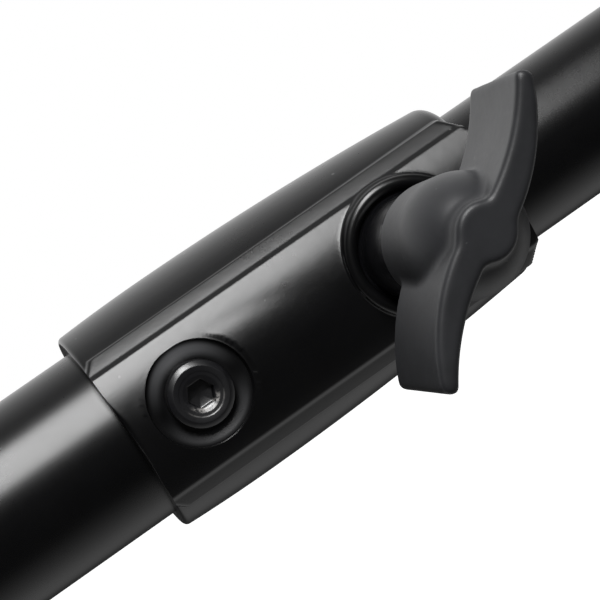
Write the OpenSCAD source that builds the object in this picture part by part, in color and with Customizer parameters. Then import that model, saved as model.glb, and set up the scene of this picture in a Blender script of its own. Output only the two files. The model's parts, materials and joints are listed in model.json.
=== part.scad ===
// Telescopic wall boom arm. Units are millimetres. The boom lies along +X, Z is up,
// and the back face of the wall plate lies on the plane X = 0. The collar's crowned pad,
// its clamp knob and the other two knobs face -Y.

/* [Tubes] */
// Outside diameter of the outer tube
outer_d = 30; // [27:0.5:34]
// Wall of the outer tube
outer_wall = 2; // [1.5:0.1:2.5]
// Length of the outer tube
outer_len = 400; // [300:10:700]
// Outside diameter of the inner tube
inner_d = 25; // [22:0.5:26]
// Wall of the inner tube
inner_wall = 1.5; // [1:0.1:2]
// Length of the inner tube
inner_len = 370; // [250:10:500]
// Plain length of the inner tube that shows when it is pushed in
inner_show = 60; // [40:5:120]

/* [Collar] */
// Length of the collar
collar_len = 70; // [62:1:90]
// Depth of the outer tube inside the collar
collar_seat = 32; // [26:1:36]
// Wall of the collar at its belly
collar_wall = 3.2; // [2.4:0.1:4]
// Wall of the collar at its nose
nose_wall = 2; // [1.6:0.1:3]
// Distance from the back end to the fattest place of the collar
belly_x = 16; // [10:1:24]
// Narrowing from the belly to the back end, on the radius
back_drop = 0.45; // [0.2:0.05:0.8]
// Corner radius of the back end
back_round = 0.8; // [0.4:0.1:1.2]
// Corner radius of the nose
nose_round = 2.2; // [1.2:0.1:2.4]
// Width of the crowned pad
pad_w = 21.6; // [20:0.2:24]
// Thickness of the pad's middle over the outer tube
pad_wall = 2.85; // [2.4:0.05:3.4]
// Radius of the pad's crown
pad_crown = 25.5; // [24:0.5:40]
// Width of the small step beside the pad
pad_step_w = 0.7; // [0.4:0.1:1]
// Height of the small step beside the pad
pad_step_h = 1; // [0.6:0.1:1.4]
// Width of the sloping strip beyond the step
strip_w = 2.1; // [1.4:0.1:3]
// Fall of the sloping strip
strip_h = 2.15; // [1.4:0.05:3]
// Radius of the pad's two end corners
pad_end_round = 1.2; // [0.6:0.1:2]
// Distance from the back end to the fixing screw
dimple_x = 12.3; // [11:0.1:16]
// Diameter of the dimple round the fixing screw
dimple_d = 17.1; // [14:0.1:17.4]
// Depth of the dimple below the pad's middle
dimple_depth = 2; // [1.8:0.1:2.2]
// Distance from the back end to the clamp screw
clamp_x = 52.4; // [48:0.1:56]
// Diameter of the raised rim round the clamp boss
rim_d = 22.3; // [21:0.1:23]
// Width of the raised rim
rim_w = 2.4; // [1.6:0.1:2.6]
// Height of the raised rim above the pad's middle
rim_h = 1; // [0.6:0.1:1.6]

/* [Clamp] */
// Diameter of the clamp boss
boss_d = 16.6; // [15:0.1:17.2]
// Height of the clamp boss above the pad's middle
boss_rise = 15; // [8:0.5:18]
// Diameter of the clamp boss's shank in the collar's wall
boss_shank_d = 13; // [12:0.5:14]
// Diameter of the clamp stud and of the swivel lock stud
stud_d = 8; // [6:0.5:8]
// Diameter of the brass shoe at the end of a stud
shoe_d = 9.8; // [9:0.1:10]
// Length of the shoe of the clamp
clamp_shoe_len = 7.5; // [6:0.5:9]
// Gap between a knob and its boss when the lock is tight
knob_gap = 1.2; // [0.5:0.1:2.4]
// Outward travel of a loosened lock
lock_travel = 2; // [1.9:0.1:2.5]
// Wall of the nylon bush in the collar
bush_wall = 1; // [0.8:0.1:1.2]
// Width of the slit along the nylon bush
bush_slit = 2; // [1:0.5:3]

/* [Wing knob] */
// Height of a wing knob
knob_h = 27.5; // [26:0.5:32]
// Diameter of the hub at its foot
hub_d = 18; // [17:0.5:20]
// Height of the hub at its middle
hub_h = 20.5; // [18:0.5:22]
// Tip to tip span of the wings
wing_span = 45.6; // [42:0.2:50]
// Height of the wings' lower edge at the hub
wing_foot = 6; // [4:0.5:8]
// Radius of the outer face of a wing
wing_arc_r = 27; // [25:0.5:32]
// Reach of the outer face sideways from the knob's axis
wing_reach = 7.6; // [7:0.1:8.5]
// Distance of the outer face's fattest place from the knob's axis
wing_mid = 12.5; // [11:0.5:14]
// Radius of the hollow inner face of a wing
hollow_r = 17.6; // [16:0.2:19]
// Sideways place of the hollow's centre
hollow_x = 13.7; // [13.2:0.1:14.4]
// Lengthwise place of the hollow's centre
hollow_y = 19; // [18:0.5:20]
// Diameter of the ridge that joins the two wings
ridge_d = 9.4; // [8:0.2:11]

/* [Wall bracket] */
// Width of the wall plate
plate_w = 90; // [80:1:120]
// Height of the wall plate
plate_h = 170; // [160:1:220]
// Thickness of the wall plate
plate_t = 6; // [4:0.5:8]
// Corner radius of the wall plate
plate_round = 10; // [4:1:14]
// Spacing of the wall holes across
hole_span_w = 60; // [40:1:64]
// Spacing of the wall holes up and down
hole_span_h = 140; // [120:1:144]
// Diameter of the wall holes
wall_hole_d = 9; // [6:0.5:11]
// Distance from the wall to the swivel axis
swivel_x = 72; // [70:1:90]
// Thickness of a lug
lug_t = 8; // [6:0.5:10]
// Radius of a lug's round end
lug_r = 20; // [17:0.5:24]
// Width of a lug at the wall plate
lug_foot = 58; // [44:1:66]
// Leg of the weld bead along a lug
weld = 3; // [2:0.5:4]

/* [Swivel and tilt] */
// Height of the yoke's barrel
barrel_h = 62; // [56:1:70]
// Radius of the yoke's barrel
barrel_r = 18; // [16:0.5:20]
// Diameter of the swivel bolt
swivel_bolt_d = 12; // [10:1:12]
// Distance from the swivel axis to the tilt axis
tilt_reach = 52; // [50:1:65]
// Radius of the fork's and the eye's round ends
eye_r = 20; // [17:0.5:21]
// Thickness of the eye
eye_t = 20; // [16:1:24]
// Thickness of a fork cheek
cheek_t = 8; // [7:0.5:10]
// Thickness of a friction disc
disc_t = 2; // [1:0.25:3]
// Diameter of the tilt bolt
tilt_bolt_d = 10; // [8:1:10]
// Diameter of the round neck behind the socket
neck_d = 22; // [18:0.5:22.5]
// Outside radius of the boom socket
socket_r = 19; // [18.5:0.5:22]
// Length of the boom socket
socket_len = 55; // [50:1:75]
// Solid length at the bottom of the socket
socket_floor = 8; // [5:1:12]
// Spacing of the two socket screws
screw_pitch = 20; // [16:1:24]

/* [Small parts] */
// Diameter of the button-head screws' shanks
screw_d = 6; // [5:0.5:6]
// Diameter of the button heads
head_d = 10.5; // [9.5:0.1:11]
// Height of the button heads
head_h = 3; // [2.6:0.1:3.6]
// Radius of the button heads' round shoulder
head_round = 2; // [1:0.1:2.4]
// Width across flats of the hex sockets
hex_af = 4; // [3:0.5:4.5]
// Length of the guide inside the inner tube
guide_plug = 14; // [10:1:20]
// Length of the guide's head behind the inner tube
guide_head = 12; // [8:1:16]
// Diameter of the guide's rivets
rivet_d = 3; // [2:0.5:4]
// Length of the end plug inside the inner tube
plug_len = 26; // [20:1:34]
// Length of the end plug's collar outside the tube
plug_head = 6; // [4:0.5:10]
// Overhang of the end plug's collar round the collar's mouth
plug_rim = 1.1; // [0.6:0.1:2]
// Diameter of the cross pin in the end plug
pin_d = 5; // [3:0.5:6]
// Diameter of the spigot
spigot_d = 16; // [12:0.5:18]
// Length of the spigot outside the plug
spigot_len = 36; // [30:1:44]
// Diameter of the waist of the spigot
waist_d = 13; // [10.5:0.5:13.5]
// Diameter of the threaded stud at the tip
tip_d = 9.5; // [6.5:0.1:9.5]
// Length of the threaded stud at the tip
tip_len = 11; // [8:0.5:14]

/* [Clearances] */
// Radial gap of a turning or sliding fit
run_gap = 0.08; // [0.05:0.01:0.1]
// Radial gap between fixed pieces
fix_gap = 0.05; // [0.03:0.01:0.1]
// Gap between pieces that only pass each other
pass_gap = 0.5; // [0.3:0.1:0.8]

/* [Hidden] */
$fn = 72;

// Places along the boom
tilt_x = swivel_x + tilt_reach;
socket_x = tilt_x + eye_r + 6;
outer_x = socket_x + socket_floor;
outer_end = outer_x + outer_len;
collar_x = outer_end - collar_seat;
collar_end = collar_x + collar_len;
inner_end = collar_end + inner_show;
inner_x = inner_end - inner_len;
screw_x = collar_x + dimple_x;
knob_x = collar_x + clamp_x;

// Radii that mating pieces share
outer_r = outer_d / 2;
outer_bore = outer_r - outer_wall;
inner_r = inner_d / 2;
inner_bore = inner_r - inner_wall;
bush_in = inner_r + run_gap;
bush_out = bush_in + bush_wall;
nose_bore = bush_out + fix_gap;
nose_r = nose_bore + nose_wall;
nose_lip = 1.5;
lip_bore = inner_r + 0.4;
seat_bore = outer_r + fix_gap;
belly_r = seat_bore + collar_wall;
pad_h = seat_bore + pad_wall;
boss_top = pad_h + boss_rise;
boss_foot = nose_bore;
shoe_r = shoe_d / 2;
stud_r = stud_d / 2;
guide_r = outer_bore - run_gap;
chamfer = 0.6;
// Depth by which joined solids run into each other, and a cut past its face
bite = 1;

// Bracket, yoke and fork
flange_t = 2;
flange_r = 13;
lug_z = barrel_h / 2 + flange_t;
bolt_r = swivel_bolt_d / 2;
bush_t = 2;
lug_bush_r = bolt_r + run_gap + bush_t;
washer_t = 2.5;
head_top = lug_z + lug_t + washer_t;
cheek_in = eye_t / 2 + disc_t;
cheek_out = cheek_in + cheek_t;
tilt_r = tilt_bolt_d / 2;
lock_boss_h = barrel_r + 8;
lock_boss_d = 18;
yoke_bush_len = 15;
swivel_hex = 19;
swivel_head_h = 7.5;
nut_h = 9;
crown_h = 3;
crown_r = 8.4;
tail_show = 4;
tilt_hex = 16;
tilt_head_h = 4;
thrust_t = 2;
thrust_r = 11;
insert_hex = 13;
insert_len = 16;

// Locks: head of the stud in the knob, room behind the shoe, and how each knob points
stud_hex = 13;
stud_head_z = 6;
stud_head_h = 8;
shoe_room = 1;
shoe_skirt = 3;
lock_land = 6;
boss_seat = 0.5;
clamp_knob_turn = -34.8;
swivel_knob_turn = 90;
tilt_knob_turn = -60;

// Axis helpers: children are drawn along local Z
module along_x(x) { translate([x, 0, 0]) rotate([0, 90, 0]) children(); }
module facing_front(x) { translate([x, 0, 0]) rotate([90, 0, 0]) children(); }

// A straight tube from z0 to z1
module ring(r_out, r_in, z0, z1) {
    translate([0, 0, z0]) difference() {
        cylinder(h = z1 - z0, r = r_out);
        translate([0, 0, -bite]) cylinder(h = z1 - z0 + 2 * bite, r = r_in);
    }
}

// A round bar from z0 to z1 with a chamfer at each end
module bar(r, z0, z1, c) {
    rotate_extrude() polygon([[0, z0], [r - c, z0], [r, z0 + c], [r, z1 - c], [r - c, z1], [0, z1]]);
}

// A hexagonal prism, given across its flats
module hex(af, z0, z1) {
    translate([0, 0, z0]) cylinder(h = z1 - z0, r = af / sqrt(3), $fn = 6);
}

// A hexagonal head or nut whose corners are turned off at z1
module hex_head(af, z0, z1) {
    intersection() {
        hex(af, z0, z1);
        bar(af / sqrt(3), z0 - bite, z1, 1);
    }
}

// Points of an arc about [x, y]
function arc(x, y, r, a0, a1, n) =
    [for (i = [0:n]) [x + r * cos(a0 + (a1 - a0) * i / n), y + r * sin(a0 + (a1 - a0) * i / n)]];

// Wall bracket

module wall_plate() {
    corners = [for (y = [-1, 1], z = [-1, 1]) [y * hole_span_w / 2, z * hole_span_h / 2]];
    flat_w = plate_w - 2 * plate_round;
    flat_h = plate_h - 2 * plate_round;
    color([0.07, 0.07, 0.08]) difference() {
        union() {
            translate([0, -plate_w / 2, -flat_h / 2]) cube([plate_t, plate_w, flat_h]);
            translate([0, -flat_w / 2, -plate_h / 2]) cube([plate_t, flat_w, plate_h]);
            for (y = [-flat_w / 2, flat_w / 2], z = [-flat_h / 2, flat_h / 2])
                translate([0, y, z]) rotate([0, 90, 0]) cylinder(h = plate_t, r = plate_round);
        }
        for (c = corners) translate([0, c[0], c[1]]) rotate([0, 90, 0]) {
            translate([0, 0, -bite]) cylinder(h = plate_t + 2 * bite, d = wall_hole_d);
            translate([0, 0, plate_t - chamfer])
                cylinder(h = 2 * chamfer, d1 = wall_hole_d, d2 = wall_hole_d + 4 * chamfer);
        }
    }
}

// Outline of one lug, seen from above: straight sides tangent to the round end
module lug_plan() {
    reach = swivel_x - plate_t;
    lean = atan2(lug_foot / 2, reach);
    tangent = 180 - lean - acos(lug_r / sqrt(reach * reach + lug_foot * lug_foot / 4));
    side = [lug_r * cos(tangent), lug_r * sin(tangent)];
    difference() {
        union() {
            circle(lug_r);
            polygon([[-reach, -lug_foot / 2], [side[0], -side[1]], side, [-reach, lug_foot / 2]]);
        }
        circle(lug_bush_r + fix_gap);
    }
}

// Concave fillet of weld metal between the plate and one face of a lug
module weld_bead() {
    length = lug_foot - 4;
    rotate([90, 0, 0]) translate([0, 0, -length / 2]) linear_extrude(length)
        polygon(concat([[0, 0]], arc(weld, weld, weld, 180, 270, 6)));
}

module bracket_lugs() {
    color([0.07, 0.07, 0.08]) for (side = [0, 1]) mirror([0, 0, side]) {
        translate([swivel_x, 0, lug_z]) linear_extrude(lug_t) lug_plan();
        translate([plate_t, 0, lug_z + lug_t]) weld_bead();
        translate([plate_t, 0, lug_z]) mirror([0, 0, 1]) weld_bead();
    }
}

module lug_bushes() {
    bore = bolt_r + run_gap;
    top = lug_z + lug_t;
    color([0.85, 0.84, 0.8]) translate([swivel_x, 0, 0]) for (side = [0, 1]) mirror([0, 0, side])
        rotate_extrude() polygon([[bore, barrel_h / 2], [flange_r, barrel_h / 2], [flange_r, lug_z],
            [lug_bush_r, lug_z], [lug_bush_r, top], [bore, top]]);
}

module swivel_bolt() {
    tail = -(head_top + nut_h + crown_h + tail_show);
    color([0.6, 0.6, 0.62]) translate([swivel_x, 0, 0]) union() {
        bar(bolt_r, tail, head_top + bite, chamfer);
        hex_head(swivel_hex, head_top, head_top + swivel_head_h);
    }
}

module swivel_washers() {
    color([0.6, 0.6, 0.62]) translate([swivel_x, 0, 0]) for (side = [0, 1]) mirror([0, 0, side])
        ring(swivel_bolt_d, bolt_r + pass_gap, lug_z + lug_t, head_top);
}

// Lock nut with a round nylon crown at its lower end
module swivel_nut() {
    color([0.6, 0.6, 0.62]) translate([swivel_x, 0, -head_top]) mirror([0, 0, 1]) difference() {
        union() {
            hex_head(swivel_hex, 0, nut_h);
            bar(crown_r, nut_h - bite, nut_h + crown_h, 1);
        }
        translate([0, 0, -bite]) cylinder(h = nut_h + crown_h + 2 * bite, r = bolt_r + fix_gap);
    }
}

// Swivel yoke: an upright barrel with a fork on its front

// Space swept by the eye and its friction discs
module fork_slot() {
    sweep = eye_r + 1.5;
    translate([tilt_x, 0, 0]) rotate([90, 0, 0]) {
        translate([0, 0, -cheek_in]) cylinder(h = 2 * cheek_in, r = sweep);
        translate([0, -sweep, -cheek_in]) cube([sweep, 2 * sweep, 2 * cheek_in]);
    }
}

module swivel_yoke() {
    waist_x = swivel_x + tilt_reach / 2 - 1;
    waist_r = 10;
    waist_depth = 1.5;
    color([0.09, 0.09, 0.1]) difference() {
        union() {
            translate([swivel_x, 0, 0]) bar(barrel_r, -barrel_h / 2, barrel_h / 2, 1.5);
            translate([swivel_x, -cheek_out, -eye_r]) cube([tilt_reach, 2 * cheek_out, 2 * eye_r]);
            facing_front(tilt_x) bar(eye_r, -cheek_out, cheek_out, 1);
            facing_front(swivel_x) bar(lock_boss_d / 2, 0, lock_boss_h, 1);
        }
        fork_slot();
        // A shallow round recess in the outer face of each cheek
        for (side = [0, 1]) mirror([0, side, 0]) translate([waist_x, -cheek_out, 0])
            rotate([90, 0, 0]) translate([0, 0, -waist_depth]) cylinder(h = 2 * waist_depth, r = waist_r);
        // Bore for the swivel bolt, with a seat for a bush at each end
        translate([swivel_x, 0, -barrel_h / 2 - bite])
            cylinder(h = barrel_h + 2 * bite, r = bolt_r + pass_gap);
        for (side = [0, 1]) mirror([0, 0, side]) translate([swivel_x, 0, barrel_h / 2 - yoke_bush_len])
            cylinder(h = yoke_bush_len + bite, r = lug_bush_r + fix_gap);
        // Lock stud's bore and the shoe's wider bore behind it
        facing_front(swivel_x) {
            cylinder(h = lock_boss_h + bite, r = stud_r + run_gap);
            cylinder(h = lock_boss_h - lock_land, r = shoe_r + run_gap);
        }
        // Tilt bolt's bore and the pocket for its head
        facing_front(tilt_x) {
            translate([0, 0, -cheek_out - bite]) cylinder(h = 2 * (cheek_out + bite), r = tilt_r + run_gap);
            hex(tilt_hex + 2 * fix_gap, -cheek_out - bite, -cheek_out + tilt_head_h);
        }
    }
}

module yoke_bushes() {
    color([0.72, 0.52, 0.28]) translate([swivel_x, 0, 0]) for (side = [0, 1]) mirror([0, 0, side])
        ring(lug_bush_r, bolt_r + run_gap, barrel_h / 2 - yoke_bush_len, barrel_h / 2);
}

module tilt_bolt() {
    seat = -cheek_out + tilt_head_h;
    tip = cheek_out + thrust_t + insert_len - bite;
    color([0.6, 0.6, 0.62]) facing_front(tilt_x) union() {
        hex(tilt_hex, -cheek_out + pass_gap, seat);
        bar(tilt_r, seat - bite, tip, chamfer);
    }
}

// Locks: a wing knob on a stud, and the shoe that the stud presses

// S-shaped plan of the wings, seen along the knob's axis
module wing_plan() {
    circle(d = ridge_d);
    for (a = [0, 180]) rotate(a) difference() {
        intersection() {
            translate([wing_reach - wing_arc_r, wing_mid]) circle(wing_arc_r, $fn = 120);
            translate([-ridge_d / 2, 0]) square([wing_reach + ridge_d, wing_span / 2]);
        }
        translate([-hollow_x, hollow_y]) circle(hollow_r, $fn = 120);
    }
}

// Space that the wings may fill: rounded tips and a lower edge that rises outwards
module wing_envelope() {
    tip = wing_span / 2;
    rotate_extrude($fn = 96) polygon(concat(
        [[0, wing_foot], [hub_d / 2, wing_foot], [tip - 2, wing_foot + 3]],
        arc(tip - 2, wing_foot + 5, 2, -80, 0, 5),
        arc(tip - 2.5, knob_h - 2.5, 2.5, 0, 80, 5),
        [[tip - 8, knob_h], [0, knob_h]]));
}

// Hub: a slightly swelling foot under a round dome
module hub_form() {
    foot_r = hub_d / 2;
    swell = foot_r + 0.4;
    dome_z = hub_h - 7;
    rotate_extrude($fn = 96) polygon(concat(
        [[0, 0], [foot_r - 0.8, 0], [foot_r, 0.8]],
        [for (a = [0:15:90]) [swell * cos(a), dome_z + 7 * sin(a)]]));
}

module wing_knob() {
    hub_form();
    intersection() {
        translate([0, 0, wing_foot - 1]) linear_extrude(knob_h) wing_plan();
        wing_envelope();
    }
}

// Knob with the pocket of the stud that is moulded into it
module stud_knob() {
    difference() {
        wing_knob();
        translate([0, 0, -bite]) cylinder(h = stud_head_z + bite, r = stud_r + fix_gap);
        hex(stud_hex + 2 * fix_gap, stud_head_z, stud_head_z + stud_head_h);
    }
}

// Stud from z0, with its head in the knob whose foot is at z1 and which points along turn
module lock_stud(z0, z1, turn) {
    bar(stud_r, z0, z1 + stud_head_z + bite, chamfer);
    rotate(turn) hex(stud_hex, z1 + stud_head_z, z1 + stud_head_z + stud_head_h);
}

// Brass shoe whose top is at z1, hollowed to the radius of the bar that it grips. The bar
// lies along local X, turned by turn.
module lock_shoe(z1, grip_r, turn) {
    difference() {
        bar(shoe_r, grip_r - shoe_skirt, z1, 0.4);
        rotate([0, 90, turn]) translate([0, 0, -shoe_d]) cylinder(h = 2 * shoe_d, r = grip_r);
    }
}

swivel_knob_h = lock_boss_h + knob_gap;
swivel_shoe_top = lock_boss_h - lock_land - lock_travel - shoe_room;

module swivel_shoe() {
    color([0.75, 0.6, 0.3]) facing_front(swivel_x) lock_shoe(swivel_shoe_top, bolt_r + fix_gap, 90);
}

module swivel_stud() {
    color([0.6, 0.6, 0.62]) facing_front(swivel_x)
        lock_stud(swivel_shoe_top, swivel_knob_h, swivel_knob_turn);
}

module swivel_knob() {
    color([0.2, 0.2, 0.21]) facing_front(swivel_x) translate([0, 0, swivel_knob_h])
        rotate(swivel_knob_turn) stud_knob();
}

module tilt_washer() {
    color([0.6, 0.6, 0.62]) facing_front(tilt_x)
        ring(thrust_r, tilt_r + run_gap, cheek_out, cheek_out + thrust_t);
}

module tilt_insert() {
    foot = cheek_out + thrust_t;
    color([0.75, 0.6, 0.3]) facing_front(tilt_x) difference() {
        rotate(tilt_knob_turn) hex(insert_hex, foot, foot + insert_len);
        cylinder(h = foot + insert_len + bite, r = tilt_r + run_gap);
    }
}

module tilt_knob() {
    color([0.2, 0.2, 0.21]) facing_front(tilt_x) translate([0, 0, cheek_out + thrust_t])
        rotate(tilt_knob_turn) difference() {
            wing_knob();
            hex(insert_hex + 2 * fix_gap, -bite, insert_len);
        }
}

// Boom: eye, neck and socket in one casting, and the outer tube

screw_sink = 1.4;

module boom_socket() {
    mouth = outer_x - tilt_x + socket_len - socket_floor;
    flare = [[0, eye_r - 2], [neck_d / 2, eye_r - 2], [neck_d / 2, eye_r + 1]];
    color([0.09, 0.09, 0.1]) difference() {
        union() {
            facing_front(tilt_x) bar(eye_r, -eye_t / 2, eye_t / 2, 0.8);
            along_x(tilt_x) cylinder(h = eye_r, d = neck_d);
            along_x(tilt_x) rotate_extrude() polygon(concat(flare,
                arc(socket_r - 2, eye_r + 8, 2, -30, 0, 4),
                arc(socket_r - 1.5, mouth - 1.5, 1.5, 0, 90, 5),
                [[0, mouth]]));
        }
        // Eye faces stay flat where the neck would swell past the friction discs
        for (side = [0, 1]) mirror([0, side, 0]) translate([tilt_x - eye_r, eye_t / 2, -eye_r])
            cube([2 * eye_r, eye_t, 2 * eye_r]);
        facing_front(tilt_x) translate([0, 0, -eye_t]) cylinder(h = 2 * eye_t, r = tilt_r + run_gap);
        along_x(outer_x) cylinder(h = socket_len, r = outer_r + fix_gap);
        for (x = socket_screw_places()) facing_front(x) {
            cylinder(h = socket_r + bite, r = screw_d / 2 + fix_gap);
            translate([0, 0, socket_r - screw_sink]) cylinder(h = head_h, d = head_d + 2);
        }
    }
}

function socket_screw_places() =
    [for (i = [-1, 1]) outer_x + (socket_len - socket_floor) / 2 + i * screw_pitch / 2];

module friction_discs() {
    color([0.32, 0.2, 0.13]) facing_front(tilt_x) for (side = [0, 1]) mirror([0, 0, side])
        ring(eye_r - 2, tilt_r + pass_gap, eye_t / 2, cheek_in);
}

// Button-head screw whose head seats at height seat and whose tip is at height tip
module button_screw(seat, tip) {
    r = head_d / 2;
    hex_depth = 2.2;
    difference() {
        union() {
            translate([0, 0, tip]) cylinder(h = seat - tip + bite, d = screw_d);
            translate([0, 0, seat]) rotate_extrude() polygon(concat([[0, 0], [r, 0]],
                arc(r - head_round, head_h - head_round, head_round, 0, 90, 8), [[0, head_h]]));
        }
        hex(hex_af, seat + head_h - hex_depth, seat + head_h + bite);
    }
}

module socket_screws() {
    color([0.1, 0.1, 0.11]) for (x = socket_screw_places())
        facing_front(x) button_screw(socket_r - screw_sink, outer_bore);
}

module outer_tube() {
    color([0.05, 0.05, 0.055]) difference() {
        along_x(0) ring(outer_r, outer_bore, outer_x, outer_end);
        for (x = concat(socket_screw_places(), [screw_x]))
            facing_front(x) cylinder(h = outer_d, r = screw_d / 2 + fix_gap);
    }
}

// Collar: a swelling barrel with a crowned pad along its front

// Outer radius of the barrel at x from its back end
function collar_r(x) =
    x < belly_x
        ? belly_r - back_drop * pow(1 - x / belly_x, 2)
        : belly_r - (belly_r - nose_r) * pow((x - belly_x) / (collar_len - belly_x), 2);

module collar_barrel() {
    steps = 18;
    x0 = back_round;
    x1 = collar_len - nose_round;
    rotate_extrude($fn = 120) polygon(concat(
        [[0, 0]],
        arc(collar_r(x0) - back_round, back_round, back_round, -90, 0, 4),
        [for (i = [1:steps - 1]) let (x = x0 + (x1 - x0) * i / steps) [collar_r(x), x]],
        arc(collar_r(x1) - nose_round, x1, nose_round, 0, 90, 6),
        [[0, collar_len]]));
}

// Height of the pad's crown at distance z from its middle
function pad_top(z) = pad_h - pad_crown + sqrt(pad_crown * pad_crown - z * z);

// Pad along X: crown, a small step on each side, and a sloping strip beyond the step. Its
// corners are rounded where it meets the two ends of the collar.
module collar_pad() {
    half = pad_w / 2;
    foot = half + pad_step_w;
    side = foot + strip_w;
    edge_h = pad_top(half);
    tilt = asin(half / pad_crown);
    intersection() {
        rotate([90, 0, 90]) linear_extrude(collar_len) polygon(concat(
            [[0, -side], [strip_h + pad_step_h - edge_h, -side], [pad_step_h - edge_h, -foot]],
            arc(pad_crown - pad_h, 0, pad_crown, 180 + tilt, 180 - tilt, 24),
            [[pad_step_h - edge_h, foot], [strip_h + pad_step_h - edge_h, side], [0, side]]));
        translate([0, 0, -side - bite]) linear_extrude(2 * (side + bite)) polygon(concat(
            [[0, 0]],
            arc(pad_end_round, pad_end_round - pad_h, pad_end_round, 180, 270, 5),
            arc(collar_len - pad_end_round, pad_end_round - pad_h, pad_end_round, -90, 0, 5),
            [[collar_len, 0]]));
    }
}

// Round platform for the clamp boss, with a rounded bead along its edge
module collar_rim() {
    outer = rim_d / 2;
    inner = outer - rim_w;
    base = pad_top(outer) - bite;
    rotate_extrude($fn = 120) polygon(concat(
        [[0, base], [0, pad_h - boss_seat], [inner, pad_h - boss_seat]],
        [for (a = [180:-20:0]) [outer - rim_w / 2 * (1 - cos(a)), pad_h + rim_h * sin(a)]],
        [[outer, base]]));
}

// Dish round the fixing screw: flat floor, sloping side and a short upright edge
module collar_dimple() {
    rim = dimple_d / 2;
    floor_h = pad_h - dimple_depth;
    edge_h = pad_top(rim) + 0.1;
    floor_r = head_d / 2 + 1;
    rotate_extrude($fn = 120) polygon([[0, floor_h], [floor_r, floor_h], [rim - 0.6, edge_h - 0.4],
        [rim, edge_h], [rim, pad_h + bite], [0, pad_h + bite]]);
}

module collar_body() {
    color([0.05, 0.05, 0.055]) translate([collar_x, 0, 0]) difference() {
        union() {
            along_x(0) collar_barrel();
            collar_pad();
            facing_front(clamp_x) collar_rim();
        }
        facing_front(dimple_x) {
            collar_dimple();
            cylinder(h = belly_r, r = screw_d / 2 + fix_gap);
        }
        facing_front(clamp_x) {
            translate([0, 0, pad_h - boss_seat])
                cylinder(h = rim_h + bite, r = rim_d / 2 - rim_w - fix_gap);
            cylinder(h = pad_h, d = boss_shank_d + 2 * fix_gap);
        }
        along_x(0) {
            translate([0, 0, -bite]) cylinder(h = collar_seat + bite, r = seat_bore);
            cylinder(h = collar_len - nose_lip, r = nose_bore);
            cylinder(h = collar_len + bite, r = lip_bore);
        }
    }
}

module collar_screw() {
    color([0.1, 0.1, 0.11]) facing_front(screw_x) button_screw(pad_h - dimple_depth, outer_bore);
}

// Split nylon bush, with a window for the shoe
module reducer_bush() {
    color([0.85, 0.84, 0.8]) difference() {
        along_x(0) ring(bush_out, bush_in, outer_end, collar_end - nose_lip);
        facing_front(knob_x) cylinder(h = outer_d, r = shoe_r + pass_gap);
        translate([outer_end - bite, 0, -bush_slit / 2]) cube([collar_len, outer_d, bush_slit]);
    }
}

clamp_knob_h = boss_top + knob_gap;
clamp_shoe_top = inner_r + clamp_shoe_len;

module clamp_boss() {
    color([0.05, 0.05, 0.055]) facing_front(knob_x) difference() {
        union() {
            bar(boss_d / 2, pad_h - boss_seat, boss_top, 0.5);
            translate([0, 0, boss_foot]) cylinder(h = pad_h - boss_foot, d = boss_shank_d);
        }
        cylinder(h = boss_top + bite, r = stud_r + run_gap);
        cylinder(h = clamp_shoe_top + lock_travel + shoe_room, r = shoe_r + run_gap);
    }
}

module clamp_shoe() {
    color([0.75, 0.6, 0.3]) facing_front(knob_x) lock_shoe(clamp_shoe_top, inner_r + fix_gap, 0);
}

module clamp_stud() {
    color([0.6, 0.6, 0.62]) facing_front(knob_x) lock_stud(clamp_shoe_top, clamp_knob_h, clamp_knob_turn);
}

module clamp_knob() {
    color([0.2, 0.2, 0.21]) facing_front(knob_x) translate([0, 0, clamp_knob_h])
        rotate(clamp_knob_turn) stud_knob();
}

// Inner tube, its guide and its end fitting

rivet_x = inner_x + guide_plug / 2;
pin_x = inner_end - plug_len / 2;
tenon_x = pin_x + pin_d;
tenon_r = spigot_d / 2 - 1;
spigot_x = inner_end + plug_head;
tip_x = spigot_x + spigot_len;
tip_shank_r = tip_d / 2 - 0.75;
guide_core_r = inner_bore - 4;
rivet_sink = 0.3;

module inner_tube() {
    color([0.05, 0.05, 0.055]) difference() {
        along_x(0) ring(inner_r, inner_bore, inner_x, inner_end);
        facing_front(rivet_x) translate([0, 0, -inner_d])
            cylinder(h = 2 * inner_d, r = rivet_d / 2 + fix_gap);
        translate([pin_x, 0, -inner_d]) cylinder(h = 2 * inner_d, r = pin_d / 2 + fix_gap);
    }
}

module inner_guide() {
    color([0.85, 0.84, 0.8]) difference() {
        union() {
            along_x(0) bar(guide_r, inner_x - guide_head, inner_x, 0.2);
            along_x(0) bar(inner_bore - fix_gap, inner_x - bite, inner_x + guide_plug, 0.5);
        }
        along_x(inner_x - guide_head - bite)
            cylinder(h = guide_head + guide_plug + 2 * bite, r = guide_core_r);
        facing_front(rivet_x) translate([0, 0, -inner_d])
            cylinder(h = 2 * inner_d, r = rivet_d / 2 + fix_gap);
    }
}

module guide_rivets() {
    color([0.6, 0.6, 0.62]) facing_front(rivet_x) for (side = [0, 1]) mirror([0, 0, side])
        translate([0, 0, guide_core_r]) cylinder(h = inner_r - rivet_sink - guide_core_r, d = rivet_d);
}

module end_plug() {
    color([0.09, 0.09, 0.1]) difference() {
        union() {
            along_x(0) bar(inner_bore - fix_gap, inner_end - plug_len, inner_end + bite, 0.8);
            along_x(0) bar(lip_bore + plug_rim, inner_end, inner_end + plug_head, 1);
        }
        along_x(tenon_x) cylinder(h = plug_len + plug_head, r = tenon_r + fix_gap);
        translate([pin_x, 0, -inner_d]) cylinder(h = 2 * inner_d, r = pin_d / 2 + fix_gap);
    }
}

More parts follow.
